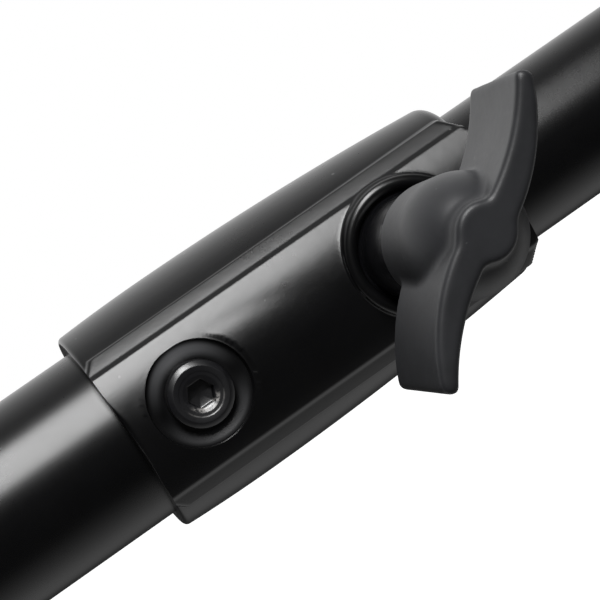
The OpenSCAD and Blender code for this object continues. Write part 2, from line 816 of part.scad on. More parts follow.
module plug_pin() {
    color([0.6, 0.6, 0.62]) translate([pin_x, 0, 0])
        bar(pin_d / 2, rivet_sink - inner_r, inner_r - rivet_sink, 0.4);
}

// Spigot with a waist for the screw of whatever is put on it, and a tenon in the plug
module end_spigot() {
    mid = tip_x - spigot_len * 0.45;
    r = spigot_d / 2;
    wr = waist_d / 2;
    color([0.7, 0.7, 0.72]) difference() {
        along_x(0) rotate_extrude() polygon([[0, tenon_x], [tenon_r, tenon_x], [tenon_r, spigot_x],
            [r, spigot_x], [r, mid - 5], [wr, mid - 3], [wr, mid + 3], [r, mid + 5],
            [r, tip_x - 1.2], [r - 1.2, tip_x], [0, tip_x]]);
        along_x(tip_x - tip_len) cylinder(h = tip_len + bite, r = tip_shank_r + fix_gap);
    }
}

module tip_stud() {
    r = tip_d / 2;
    color([0.7, 0.7, 0.72]) along_x(0) rotate_extrude() polygon([[0, tip_x - tip_len],
        [tip_shank_r, tip_x - tip_len], [tip_shank_r, tip_x], [r, tip_x],
        [r, tip_x + tip_len - 0.8], [r - 0.8, tip_x + tip_len], [0, tip_x + tip_len]]);
}

wall_plate();
bracket_lugs();
lug_bushes();
swivel_bolt();
swivel_washers();
swivel_nut();
swivel_yoke();
yoke_bushes();
tilt_bolt();
swivel_shoe();
swivel_stud();
swivel_knob();
tilt_washer();
tilt_insert();
tilt_knob();
boom_socket();
friction_discs();
socket_screws();
outer_tube();
collar_body();
collar_screw();
reducer_bush();
clamp_boss();
clamp_shoe();
clamp_stud();
clamp_knob();
inner_tube();
inner_guide();
guide_rivets();
end_plug();
plug_pin();
end_spigot();
tip_stud();
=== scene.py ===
# %% [markdown]
# Wall boom arm.
# A black outer tube ends in a clamp collar, and a thinner tube slides out of the collar.
# A wing knob on the collar locks it. The other end swivels and tilts on a wall bracket.
# Each step makes a piece, a finish or a helper for them. The CAD model gives each piece's
# place and motion, and this file gives its look.

# %% Load the CAD model
import json
import math

import bpy
import numpy as np
from mathutils import Matrix


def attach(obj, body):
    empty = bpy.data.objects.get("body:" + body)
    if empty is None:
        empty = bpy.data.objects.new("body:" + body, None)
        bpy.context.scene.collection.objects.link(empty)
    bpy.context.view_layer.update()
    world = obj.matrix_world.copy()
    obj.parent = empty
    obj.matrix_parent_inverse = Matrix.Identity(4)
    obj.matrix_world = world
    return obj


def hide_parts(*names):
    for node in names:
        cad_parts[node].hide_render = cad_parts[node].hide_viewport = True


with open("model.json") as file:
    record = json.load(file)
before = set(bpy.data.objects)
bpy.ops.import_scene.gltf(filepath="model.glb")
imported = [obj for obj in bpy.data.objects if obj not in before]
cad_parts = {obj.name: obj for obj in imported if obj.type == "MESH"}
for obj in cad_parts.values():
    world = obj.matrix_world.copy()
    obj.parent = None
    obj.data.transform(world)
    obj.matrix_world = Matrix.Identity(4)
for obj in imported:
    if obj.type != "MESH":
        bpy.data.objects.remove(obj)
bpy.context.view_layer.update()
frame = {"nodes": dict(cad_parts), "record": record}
nodes = frame["nodes"]

# %% [markdown]
# Shapes are worked out in millimetres with numpy and turned into metres once, at the end.
# A rounded profile is the base of nearly every turned piece, because real edges catch a
# thin line of light. Two support points beside each round keep the flat faces flat
# in the shading.

# %% Profiles
MM, SUPPORT = 0.001, 0.12


def arc(cx, cy, r, a0, a1, n):
    """n + 1 points on a circle: (cx + r cos a, cy + r sin a) for a from a0 to a1 degrees."""
    a = np.radians(np.linspace(a0, a1, n + 1))
    return np.stack([cx + r * np.cos(a), cy + r * np.sin(a)], 1)


def rounded(corners, closed=False, n=5):
    """A profile from corners (x, y, radius). At each corner a circle touches both sides, at
    radius / tan(half the corner's angle) from it."""
    pts = np.array([c[:2] for c in corners], float)
    out = []
    for i, (x, y, r) in enumerate(corners):
        here = pts[i]
        if r <= 0 or (not closed and i in (0, len(corners) - 1)):
            out.append([here])
            continue
        u = pts[i - 1] - here
        v = pts[(i + 1) % len(pts)] - here
        lu, lv = np.linalg.norm(u), np.linalg.norm(v)
        u, v = u / lu, v / lv
        half = math.acos(np.clip(u @ v, -1, 1)) / 2
        cut = r / math.tan(half)
        mid = here + (u + v) / np.linalg.norm(u + v) * r / math.sin(half)
        a = here + u * cut - mid
        b = here + v * cut - mid
        t = np.linspace(0, 1, n + 1)[:, None]
        turn = math.acos(np.clip(a @ b / r**2, -1, 1))
        bow = mid + (np.sin((1 - t) * turn) * a + np.sin(t * turn) * b) / math.sin(turn)
        ends = [here + u * min(cut + SUPPORT, lu / 2), here + v * min(cut + SUPPORT, lv / 2)]
        out += [ends[:1], bow, ends[1:]]
    return np.concatenate([np.asarray(o).reshape(-1, 2) for o in out])


# %% [markdown]
# A surface is a grid of points, one row for each step along the profile and one column for
# each step round the axis. Neighbours in the grid make a face. Points that fall together,
# as at a pole, are merged, and the sign of the enclosed volume tells whether
# the faces look outwards.

# %% Grids into meshes
def grid_faces(rows, cols, wrap_rows=False):
    """Quads (i, j), (i, j+1), (i+1, j+1), (i+1, j) over a grid whose last column joins the
    first. With wrap_rows, the last row joins the first too."""
    i, j = np.meshgrid(np.arange(rows - (not wrap_rows)), np.arange(cols), indexing="ij")
    i2, j2 = (i + 1) % rows, (j + 1) % cols
    return np.stack([i * cols + j, i * cols + j2, i2 * cols + j2, i2 * cols + j], -1).reshape(-1, 4)


def merged(points, faces):
    """Points that agree to 0.0001 mm become one. A quad that loses a corner is a triangle."""
    _, first, where = np.unique(np.round(points, 4), axis=0, return_index=True, return_inverse=True)
    faces = where.reshape(-1)[faces]
    same = faces == np.roll(faces, -1, axis=1)
    quads = faces[same.sum(1) == 0]
    part = faces[same.sum(1) == 1]
    k = same[same.sum(1) == 1].argmax(1)
    tris = np.stack([part[np.arange(len(part)), (k + m) % 4] for m in (1, 2, 3)], 1)
    return points[first], quads, tris


def new_mesh(name, points, quads, tris):
    """A smooth mesh in metres, its faces turned outwards by the sign of its volume."""
    fan = np.concatenate([quads[:, [0, 1, 2]], quads[:, [0, 2, 3]], tris])
    a, b, c = (points[fan[:, m]] for m in range(3))
    if np.einsum("ij,ij->i", a, np.cross(b, c)).sum() < 0:
        quads, tris = quads[:, ::-1], tris[:, ::-1]
    mesh = bpy.data.meshes.new(name)
    mesh.vertices.add(len(points))
    mesh.vertices.foreach_set("co", (points * MM).astype(np.float32).ravel())
    corners = np.concatenate([quads.ravel(), tris.ravel()])
    mesh.loops.add(corners.size)
    mesh.loops.foreach_set("vertex_index", corners.astype(np.int32))
    mesh.polygons.add(len(quads) + len(tris))
    starts = np.concatenate([np.arange(len(quads)) * 4, quads.size + np.arange(len(tris)) * 3])
    mesh.polygons.foreach_set("loop_start", starts.astype(np.int32))
    mesh.polygons.foreach_set("use_smooth", np.ones(len(starts), bool))
    mesh.update(calc_edges=True)
    mesh.validate()
    return mesh


def add_object(name, data):
    """A new object in the scene, at the origin."""
    obj = bpy.data.objects.new(name, data)
    bpy.context.scene.collection.objects.link(obj)
    return obj


def body_of_node(node):
    """The body that a CAD node belongs to."""
    bodies = frame["record"]["behaviour"]["bodies"]
    return next(body for body, members in bodies.items() if node in members)


def piece(name, parts, stands_for):
    """One object from parts (points, faces), which rides on the body of the node it stands for."""
    pts, faces, base = [], [], 0
    for p, f in parts:
        pts.append(p)
        faces.append(f + base)
        base += len(p)
    whole = merged(np.concatenate(pts), np.concatenate(faces))
    obj = add_object(name, new_mesh(name, *whole))
    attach(obj, body_of_node(stands_for[0]))
    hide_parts(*stands_for)
    print(name, len(obj.data.polygons), "faces")
    return obj


# %% [markdown]
# A turned piece is a profile carried round an axis. Most axes of the arm lie along X, as the
# tubes do, or along -Y, as the screws and knobs on its front do.

# %% Turned pieces
def lathe(profile, n=96, closed=False):
    """Points (r cos a, r sin a, t) for each profile point (r, t) and n angles a."""
    a = np.arange(n) * 2 * np.pi / n
    r, t = profile[:, :1], profile[:, 1:]
    p = np.stack([r * np.cos(a), r * np.sin(a), t + 0 * a], -1)
    return p.reshape(-1, 3), grid_faces(len(profile), n, wrap_rows=closed)


def along_x(part):
    """Local Z becomes X: (a, b, c) goes to (c, b, -a)."""
    p, f = part
    return np.stack([p[:, 2], p[:, 1], -p[:, 0]], 1), f


def facing_front(part, x):
    """Local Z becomes -Y: (a, b, c) goes to (x + a, -c, b)."""
    p, f = part
    return np.stack([x + p[:, 0], -p[:, 2], p[:, 1]], 1), f


def tube(r_out, r_in, t0, t1, r=0.3):
    """A pipe: its closed wall profile, with rounded ends, carried round the axis."""
    wall = [(r_out, t0, r), (r_out, t1, r), (r_in, t1, r), (r_in, t0, r)]
    return lathe(rounded(wall, closed=True), closed=True)


# %% [markdown]
# Sizes in millimetres that several pieces share. They are the CAD model's own.

# %% Shared sizes
TILT_X, SWIVEL_X = 124, 72
OUTER_X, OUTER_END, OUTER_R, OUTER_BORE = 158, 558, 15, 13
INNER_X, INNER_END, INNER_R, INNER_BORE = 286, 656, 12.5, 11
COLLAR_X, COLLAR_LEN, SEAT_LEN = 526, 70, 32
SEAT_BORE, NOSE_BORE, LIP_BORE = 15.05, 13.63, 12.9
SCREW_X, KNOB_X, SOCKET_SCREWS = 538.3, 578.4, (171.5, 191.5)
PAD_H, BOSS_TOP = 17.9, 32.9
HEAD_R, HEAD_H = 5.25, 3.0

# %% [markdown]
# The two tubes. Each could be Blender's cylinder, but its rim would be sharp and its wall
# would have no thickness at the open end. A rounded wall profile gives both.

# %% Tubes
outer = piece("outer_tube_paint", [along_x(tube(OUTER_R, OUTER_BORE, OUTER_X, OUTER_END))],
              ["outer_tube"])
inner = piece("inner_tube_paint", [along_x(tube(INNER_R, INNER_BORE, INNER_X, INNER_END))],
              ["inner_tube"])

# %% [markdown]
# The clamp collar is a casting: a swelling barrel with a crowned pad along its front, a small
# step on each side of the pad and a sloping strip below the step. Its section changes along
# the tube, so it is neither a plain lathe nor a plain extrusion. Each point of the grid
# is found along a ray that leaves a flat bar inside the collar: rays from the bar's
# front are parallel, and they fan out round its two edges. The place where a ray leaves
# the section is found by halving steps. The pad sits PAD_LOW below the tube's axis, as the
# halves of a mould seldom match.

# %% Collar section
PAD_CROWN, PAD_HALF, PAD_LOW = 24.6, 10.85, 0.2
STEP_W, STEP_H = 0.62, 0.77
STRIP_W, STRIP_H, STRIP_BOW = 2.13, 1.71, 0.02
NOSE_CUT, BACK_CUT = 2.2, 1.2
BELLY_X, BELLY_R, BACK_DROP, NOSE_R = 16, SEAT_BORE + 3.2, 0.45, 15.63
BACK_ROUND, NOSE_ROUND, PAD_ROUND = 0.8, 2.2, 1.2


def pad_top(z):
    """Height of the crown: a circle of radius PAD_CROWN, its top PAD_H high at z = -PAD_LOW."""
    return PAD_H - PAD_CROWN + np.sqrt(np.maximum(PAD_CROWN**2 - (z + PAD_LOW) ** 2, 0))


def blend_min(a, b, k):
    """The lower of a and b, rounded over k where they meet."""
    h = np.clip(0.5 + 0.5 * (b - a) / k, 0, 1)
    return b + (a - b) * h - k * h * (1 - h)


def blend_max(a, b, k):
    """The higher of a and b, rounded over k where they meet."""
    return -blend_min(-a, -b, k)


def end_drop(x, r):
    """How far a round of radius r has dropped at x from either end of the collar."""
    u = r - np.clip(np.minimum(x, COLLAR_LEN - x), 0, r)
    return r - np.sqrt(np.maximum(r**2 - u**2, 0))


def barrel_radius(x):
    """Two parabolas that meet at the belly, less the rounded corners."""
    back = BELLY_R - BACK_DROP * (1 - x / BELLY_X) ** 2
    front = BELLY_R - (BELLY_R - NOSE_R) * ((x - BELLY_X) / (COLLAR_LEN - BELLY_X)) ** 2
    corner = np.where(x < COLLAR_LEN / 2, end_drop(x, BACK_ROUND), end_drop(x, NOSE_ROUND))
    return np.where(x < BELLY_X, back, front) - corner


def collar_field(x, z, h):
    """Below zero inside the collar. The pad is the crown, cut by step, strip, ends and sides.
    Each cut comes with the width of its blend."""
    barrel = np.hypot(z, h) - barrel_radius(x)
    z, side = np.abs(z + PAD_LOW), PAD_HALF + STEP_W + STRIP_W
    edge = pad_top(PAD_HALF - PAD_LOW)
    foot = PAD_HALF + STEP_W
    crown = np.hypot(z, h - PAD_H + PAD_CROWN) - PAD_CROWN
    step = ((z - PAD_HALF) * STEP_H + (h - edge) * STEP_W) / math.hypot(STEP_W, STEP_H)
    strip = ((z - foot) * STRIP_H + (h - edge + STEP_H) * STRIP_W) / math.hypot(STRIP_W, STRIP_H)
    strip = strip + STRIP_BOW * (z - foot) ** 2
    pad = blend_max(crown, blend_min(step, strip, 0.05), 0.12)
    nose = (x - COLLAR_LEN) * (side - PAD_HALF) + (z - PAD_HALF) * NOSE_CUT
    nose = nose / math.hypot(side - PAD_HALF, NOSE_CUT)
    back = (z - side + BACK_CUT - x) / math.sqrt(2)
    lid = h - PAD_H + end_drop(x, PAD_ROUND)
    for cut, blend in ((nose, 0.6), (back, 0.6), (z - side, 0.12), (-h, 0.5), (lid, 0.2)):
        pad = blend_max(pad, cut, blend)
    return blend_min(barrel, pad, 0.08)


# %% [markdown]
# The rays: a list of starting places z on the bar and directions (dz, dh), once round the
# collar. They stand closer together where the pad's small step and the strip's edge run.

# %% Rays round the collar
BAR = 11.8
half_z = np.concatenate([np.arange(0, 10.3, 0.4), np.linspace(10.4, BAR, 19)])
front_z = np.concatenate([-half_z[:0:-1], half_z])
fan = np.radians(np.concatenate([np.arange(0.5, 15, 0.5), np.arange(16, 24, 2),
                                 np.arange(24, 178, 4)]))
back_z = np.linspace(BAR, -BAR, 41)
ray_z = np.concatenate([front_z, np.full(fan.size, BAR), back_z, np.full(fan.size, -BAR)])
ray_dz = np.concatenate([0 * front_z, np.sin(fan), 0 * back_z, -np.sin(fan[::-1])])
ray_dh = np.concatenate([0 * front_z + 1, np.cos(fan), 0 * back_z - 1, np.cos(fan[::-1])])
RAYS = ray_z.size
print("rays round the collar:", RAYS)


def edge_of(value, low, high):
    """The t between low and high up to which value(t) is below zero, by 34 halvings."""
    for _ in range(34):
        mid = (low + high) / 2
        inside = value(mid) < 0
        low, high = np.where(inside, mid, low), np.where(inside, high, mid)
    return low


def on_rays(x, field):
    """Points (x, z, h) where each ray leaves the shape, one row for each x."""
    x = np.asarray(x, float)[:, None]
    start = np.zeros((x.shape[0], RAYS))
    t = edge_of(lambda t: field(x, ray_z + t * ray_dz, t * ray_dh), start, start + 24)
    return np.stack([x + start, ray_z + t * ray_dz, t * ray_dh], -1)


# %% [markdown]
# The dimple round the fixing screw and the rim round the clamp boss are round, so a square
# grid would draw them with ragged edges. For each, the cells that reach inside a circle
# are left out of the grid. Rings of points run from the border of that hole to
# the first true circle and on down the profile.

# %% Round patches in the grid
def open_hole(p, faces, block, centre, radius, sense):
    """Drops the faces that have a corner of the block inside a circle in (x, z). Gives which
    faces stay, and the hole's border: its points by angle, rising if sense is 1."""
    near = block & (p[:, 2] > 0) & (np.hypot(p[:, 0] - centre, p[:, 1]) < radius)
    gone = near[faces].any(1)
    border = np.intersect1d(faces[gone], faces[~gone])
    angle = np.arctan2(p[border, 1], p[border, 0] - centre)
    return ~gone, border[np.argsort(sense * angle)]


def round_patch(border, centre, radii, heights):
    """Rings inside a border. Ring k has the angle of each border point, the radius
    radii[k] and the height heights[k](x, z)."""
    phi = np.arctan2(border[:, 1], border[:, 0] - centre)
    rings = []
    for r, height in zip(radii, heights):
        ring = np.stack([centre + r * np.cos(phi), r * np.sin(phi)], 1)
        rings.append(np.concatenate([ring, height(ring[:, :1], ring[:, 1:])], 1))
    return rings


# %% [markdown]
# Along the collar the rows crowd together near both ends, where the corners are round.
# The outer skin runs from the back end to the nose, and the bore comes back inside it,
# so the whole collar is one closed wall.

# %% Collar rows
DIMPLE_X, DIMPLE_HOLE, DIMPLE_BOX = 12.3, 9.0, 10.0
CLAMP_X, RIM_HOLE, RIM_BOX = 52.4, 11.55, 11.8
RIM_OUT, RIM_IN, RIM_H = 11.05, 8.85, 1.0
SHANK_R, BOSS_SEAT, SCREW_SEAT = 6.55, PAD_H - 0.5, PAD_H - 2


def crowded(x0, x1, n):
    """n + 1 places from x0 to x1, crowded towards x0 as a cosine."""
    return x0 + (x1 - x0) * (1 - np.cos(np.linspace(0, np.pi / 2, n + 1)))


lines = [crowded(0, PAD_ROUND, 9), np.linspace(PAD_ROUND, DIMPLE_X - DIMPLE_BOX, 4)[1:],
         np.linspace(DIMPLE_X - DIMPLE_BOX, DIMPLE_X + DIMPLE_BOX, 51)[1:],
         np.linspace(DIMPLE_X + DIMPLE_BOX, CLAMP_X - RIM_BOX, 41)[1:],
         np.linspace(CLAMP_X - RIM_BOX, CLAMP_X + RIM_BOX, 60)[1:],
         np.linspace(CLAMP_X + RIM_BOX, COLLAR_LEN - NOSE_ROUND, 9)[1:],
         COLLAR_LEN - crowded(0, NOSE_ROUND, 12)[-2::-1]]
skin_x = np.concatenate(lines)

# the bore has three stretches: the seat of the outer tube, the bush's place and the lip
bore_x = np.concatenate([[0, 0.3], np.linspace(0, SEAT_LEN, 9)[1:], [SEAT_LEN],
                         np.linspace(SEAT_LEN, CLAMP_X - RIM_BOX, 5)[1:],
                         np.linspace(CLAMP_X - RIM_BOX, CLAMP_X + RIM_BOX, 60)[1:],
                         [COLLAR_LEN - 1.5, COLLAR_LEN - 1.5, COLLAR_LEN - 0.3, COLLAR_LEN]])
radius = np.repeat([SEAT_BORE, NOSE_BORE, LIP_BORE], [10, bore_x.size - 13, 3])[:, None]
bore = on_rays(bore_x, lambda x, z, h: np.hypot(z, h) - radius)
skin = on_rays(skin_x, collar_field)


def end_face(a, b):
    """Two rows of points near both edges of an end face, which keep it flat in the shading."""
    return np.stack([a * 0.92 + b * 0.08, a * 0.08 + b * 0.92])


wall = np.concatenate([skin, end_face(skin[-1], bore[-1]), bore[::-1], end_face(bore[0], skin[0])])
print("collar rows:", wall.shape)

# %% [markdown]
# The dimple is a turned dish in a crowned pad: a flat seat for the screw's head, a gentle
# slope, and a steep wall up to the crown. The wall is high along the tube and nearly gone
# across it, where the crown has dropped. The rim is half of an ellipse carried round a
# platform, with the boss's seat inside it.

# %% Collar mesh
faces = grid_faces(len(wall), RAYS, wrap_rows=True)
grid = wall.reshape(-1, 3)
row_of = np.arange(len(grid)) // RAYS
on_skin = row_of < len(skin)
on_bore = (row_of >= len(skin) + 2) & (row_of < len(skin) + 2 + len(bore))
dish_r = np.concatenate([[8.8, 8.6], np.linspace(8.5, 8.2, 11), np.linspace(8.14, 5.5, 23),
                         [5.3, 3, 0]])
dish_h = SCREW_SEAT + np.interp(dish_r, [5.7, 6.1, 7.6, 8.0, 8.2], [0, 0.06, 0.44, 0.50, 0.51])
dish_share = np.interp(dish_r, [8.24, 8.27, 8.35, 8.41, 8.47], [0, 0.1, 0.85, 0.97, 1])


def dish_height(h, share):
    """Between the dish's own height h and the crown: h (1 - share) + crown share."""
    return lambda x, z: h * (1 - share) + pad_top(z) * share


def flat(h):
    """The same height everywhere."""
    return lambda x, z: h + 0 * z


def skin_height(x, z):
    """Height of the collar's skin over (x, z)."""
    return edge_of(lambda h: collar_field(x, z, h), 6 + 0 * z, 20 + 0 * z)


def bore_height(x, z):
    """Height of the bore over (x, z): the square root of NOSE_BORE^2 - z^2."""
    return np.sqrt(NOSE_BORE**2 - z**2)


bead = np.radians(np.linspace(0, 180, 19))
bead_r = (RIM_OUT + RIM_IN) / 2 + (RIM_OUT - RIM_IN) / 2 * np.cos(bead)
rim_radii = np.concatenate([[11.46, 11.34, 11.24, 11.18, RIM_OUT, RIM_OUT], bead_r,
                            [RIM_IN, RIM_IN - 0.1, 8.0, SHANK_R + 0.1, SHANK_R, SHANK_R]])
rise = [lambda x, z, u=u: skin_height(x, z) + u for u in (0, 0.02, 0.08, 0.2, 0.4)]
rise += [lambda x, z: np.maximum(PAD_H - 0.1, skin_height(x, z))]
rise += [flat(PAD_H + u) for u in RIM_H * np.sin(bead)]
rise += [flat(BOSS_SEAT + u) for u in (0.1, 0, 0, 0, -0.1)] + [flat(14.2)]
points, base = [grid], len(grid)
keep = np.ones(len(faces), bool)
patches = []
dish_rise = [dish_height(h, u) for h, u in zip(dish_h, dish_share)]
plan = [("dish", on_skin, DIMPLE_HOLE, 1, DIMPLE_X, dish_r, dish_rise),
        ("rim", on_skin, RIM_HOLE, 1, CLAMP_X, rim_radii, rise),
        ("hole", on_bore, RIM_HOLE, -1, CLAMP_X, [9.0, SHANK_R], [bore_height] * 2)]
last = {}
for name, block, hole_r, sense, centre, radii, heights in plan:
    stays, ids = open_hole(grid, faces, block, centre, hole_r, sense)
    keep &= stays
    border = grid[ids]
    rings = round_patch(border, centre, radii, heights)
    n = len(ids)
    ring_ids = np.concatenate([ids, base + np.arange(n * len(rings))]).reshape(-1, n)
    strip = grid_faces(len(ring_ids), n)
    patches.append(ring_ids.reshape(-1)[strip][:, ::-1])
    points += rings
    base += n * len(rings)
    last[name] = ring_ids[-1], border
    print(name, "patch:", n, "x", len(rings))

# the boss's hole joins the rim's last ring to the bore's, matched by angle
top_ids, top_border = last["rim"]
low_ids, low_border = last["hole"]
angle = [np.arctan2(b[:, 1], b[:, 0] - CLAMP_X) for b in (top_border, low_border)]
order = [np.argsort(a) for a in angle]
pair = np.stack([top_ids[order[0]], low_ids[order[1]]])
patches.append(pair.reshape(-1)[grid_faces(2, pair.shape[1])][:, ::-1])
points = np.concatenate(points)
collar_points = np.stack([COLLAR_X + points[:, 0], -points[:, 2], points[:, 1]], 1)
collar = piece("collar_casting", [(collar_points, np.concatenate([faces[keep]] + patches))],
               ["collar_body"])
print("hole rings:", pair.shape, "largest angle mismatch, degrees:",
      round(float(np.degrees(np.abs(angle[0][order[0]] - angle[1][order[1]]).max())), 4))

# %% [markdown]
# The button-head screws. The head has a flat top and a dome with a crease between them. A
# shallow recess in the flat top leads to the cone at the mouth of the hex socket. Rings of
# points go from round to hexagonal: a hexagon's radius is half its width over flats,
# divided by the cosine of the angle from the nearest flat's middle.

# %% Screws
HEX_HALF = 2.0


def button_screw(seat, tip):
    """Head, cone, hex socket and shank as one closed surface, its rings from the tip of the
    shank up the outside, over the head and down into the socket."""
    top = seat + HEAD_H
    shank = [(0, tip), (2.6, tip), (3, tip + 0.4), (3, seat - 0.1), (3.1, seat),
             (HEAD_R - 0.15, seat), (HEAD_R, seat + 0.1), (HEAD_R, top - 0.8)]
    edge = arc(HEAD_R - 0.2, top - 0.71, 0.2, 0, 44, 4)
    dome = arc(3.05, top - 2.92, 3.2, 47, 66, 8)
    recess = [(dome[-1, 0] - 0.04, top), (3.62, top), (3.55, top - 0.02), (3.45, top - 0.08),
              (3.35, top - 0.10), (2.95, top - 0.12), (2.85, top - 0.14), (2.42, top - 0.40)]
    p = lathe(np.concatenate([shank, edge, dome, recess]), 96)[0]
    a = np.arange(96) * 2 * np.pi / 96
    hexed = HEX_HALF / np.cos((a % (np.pi / 3)) - np.pi / 6)
    socket = [(hexed + 0.06, top - 0.46), (hexed + 0.02, top - 0.54), (hexed, top - 0.7),
              (hexed, top - 2.15), (0.9 * hexed, top - 2.2), (0 * hexed, top - 2.6)]
    rings = [np.stack([r * np.cos(a), r * np.sin(a), t + 0 * a], 1) for r, t in socket]
    points = np.concatenate([p] + rings)
    return points, grid_faces(len(points) // 96, 96)


screw = piece("collar_button_screw", [facing_front(button_screw(SCREW_SEAT, OUTER_BORE), SCREW_X)],
              ["collar_screw"])
two_screws = [facing_front(button_screw(17.6, OUTER_BORE), x) for x in SOCKET_SCREWS]
pair_of_screws = piece("socket_button_screws", two_screws, ["socket_screws"])

# %% [markdown]
# The clamp boss is a turned cylinder, glossy, with a small concave fillet where it meets its
# seat. In the photo that fillet is a bright sliver with a wavy edge, so the fillet's
# height wanders a little round the boss.

# %% Clamp boss
BOSS_R, BOSS_SHANK, BOSS_FOOT = 8.3, 6.5, 13.7
FILLET_W, FILLET_H = 0.44, 1.25


def boss_points():
    """Profile carried round. The fillet's height is scaled by 1 + 0.2 sin 5a + 0.15 sin(9a + 1)
    at the angle a."""
    a = np.radians(np.linspace(0, 90, 13))
    fillet = np.stack([BOSS_R + FILLET_W * (1 - np.sin(a)), FILLET_H * (1 - np.cos(a))], 1)
    body = rounded([(BOSS_R, BOSS_SEAT + FILLET_H, 0), (BOSS_R, BOSS_TOP, 0.5),
                    (4.08, BOSS_TOP, 0.3), (4.08, 23.2, 0), (4.98, 23.1, 0), (4.98, BOSS_FOOT, 0),
                    (BOSS_SHANK, BOSS_FOOT, 0.1), (BOSS_SHANK, BOSS_SEAT, 0)])
    profile = np.concatenate([fillet + [0, BOSS_SEAT], body[1:], [[8.6, BOSS_SEAT]]])
    p, f = lathe(profile, 144, closed=True)
    turn, up = np.arctan2(p[:, 1], p[:, 0]), p[:, 2] - BOSS_SEAT
    low = (up >= 0) & (up < FILLET_H + 0.05) & (np.hypot(p[:, 0], p[:, 1]) > 8)
    wave = 1 + 0.2 * np.sin(5 * turn) + 0.15 * np.sin(9 * turn + 1)
    p[low, 2] = BOSS_SEAT + (up * wave)[low]
    return p, f


boss = piece("clamp_boss_gloss", [facing_front(boss_points(), KNOB_X)],
             ["clamp_boss"])

# %% [markdown]
# The wing knobs are moulded: a domed hub and an S-shaped wing melt into each other, so no
# single grid of two parameters fits them. They could be modelled with subdivision
# surfaces, or blended from solids by a field, a function that is below zero inside
# the shape. The field is the better way here, because its blends are fillets of a known
# radius. A skin is drawn over it: each small cube that the surface crosses gets one
# point, points of neighbouring cubes join into quads, and each point then slides
# down the field's slope until it lies on the surface.

# %% A skin over a field
def slope(field, p, e=1e-3):
    """Gradient of the field at points p, by central differences."""
    step = np.eye(3) * e
    return np.stack([field(*(p + d).T) - field(*(p - d).T) for d in step], 1) / (2 * e)


def skin_over(field, low, high, cell):
    """Points and quads where field(x, y, z) is zero: one point for each crossed cube."""
    axes = [np.arange(a, b + cell, cell) for a, b in zip(low, high)]
    f = field(*np.meshgrid(*axes, indexing="ij"))
    size = np.array(f.shape) - 1
    total, count = np.zeros((*size, 3)), np.zeros(size)
    for axis in range(3):
        a = np.moveaxis(f, axis, 0)
        crossed = (a[:-1] < 0) != (a[1:] < 0)
        t = np.where(crossed, a[:-1] / np.where(crossed, a[:-1] - a[1:], 1), 0)
        crossed, t = np.moveaxis(crossed, 0, axis), np.moveaxis(t, 0, axis)
        others = [k for k in range(3) if k != axis]
        for u in (0, 1):
            for v in (0, 1):
                cut = [slice(None)] * 3
                cut[others[0]] = slice(u, u + size[others[0]])
                cut[others[1]] = slice(v, v + size[others[1]])
                c = crossed[tuple(cut)]
                count += c
                total[..., axis] += t[tuple(cut)]
                total[..., others[0]] += u * c
                total[..., others[1]] += v * c
    live = count > 0
    ids = np.full(size, -1)
    ids[live] = np.arange(live.sum())
    place = np.stack(np.nonzero(live), 1) + total[live] / count[live][:, None]
    p = place * cell + np.array([a[0] for a in axes])
    quads = []
    for axis in range(3):
        a = np.moveaxis(f, axis, 0)[:, 1:-1, 1:-1]
        ids_a = np.moveaxis(ids, axis, 0)
        one = (a[:-1] < 0) & (a[1:] >= 0)
        two = (a[:-1] >= 0) & (a[1:] < 0)
        around = [ids_a[:, :-1, :-1], ids_a[:, 1:, :-1], ids_a[:, 1:, 1:], ids_a[:, :-1, 1:]]
        flip = axis == 1
        for hit, turned in ((one, flip), (two, not flip)):
            q = np.stack([r[hit] for r in around], 1)
            quads.append(q[:, ::-1] if turned else q)
    for _ in range(4):
        g = slope(field, p)
        p = p - g * (field(*p.T) / np.maximum((g**2).sum(1), 1e-6))[:, None]
    return p, np.concatenate(quads)


# %% [markdown]
# The knob's field, in its own frame: x across the wings, y along them, z up its axis. Seen
# from above each wing lies between two circles, one bulging and one hollow. The wings
# thicken towards their foot, as a moulded part does so that it leaves its mould. The knob
# on the clamp leans a little, as one on a loose thread does.

# %% Wing knob
KNOB_H, HALF_SPAN, WING_FOOT, WING_BACK, DISC_R = 27.5, 22.4, 5.0, 2.35, 4.7
BULGE, HOLLOW = (-23.5, 14.7, 30.9), (-30.7, 20.2, 34.3)  # circles (x, y, radius)
DRAFT, TIP_DRAFT = 0.04, 0.02
LEAN_X, LEAN_UP = 0.023, 0.0165
HUB_R, DOME_FOOT, DOME_R, DOME_H = 9.0, 13.5, 9.4, 12
STUD_R, STUD_DEPTH = 4.3, 6


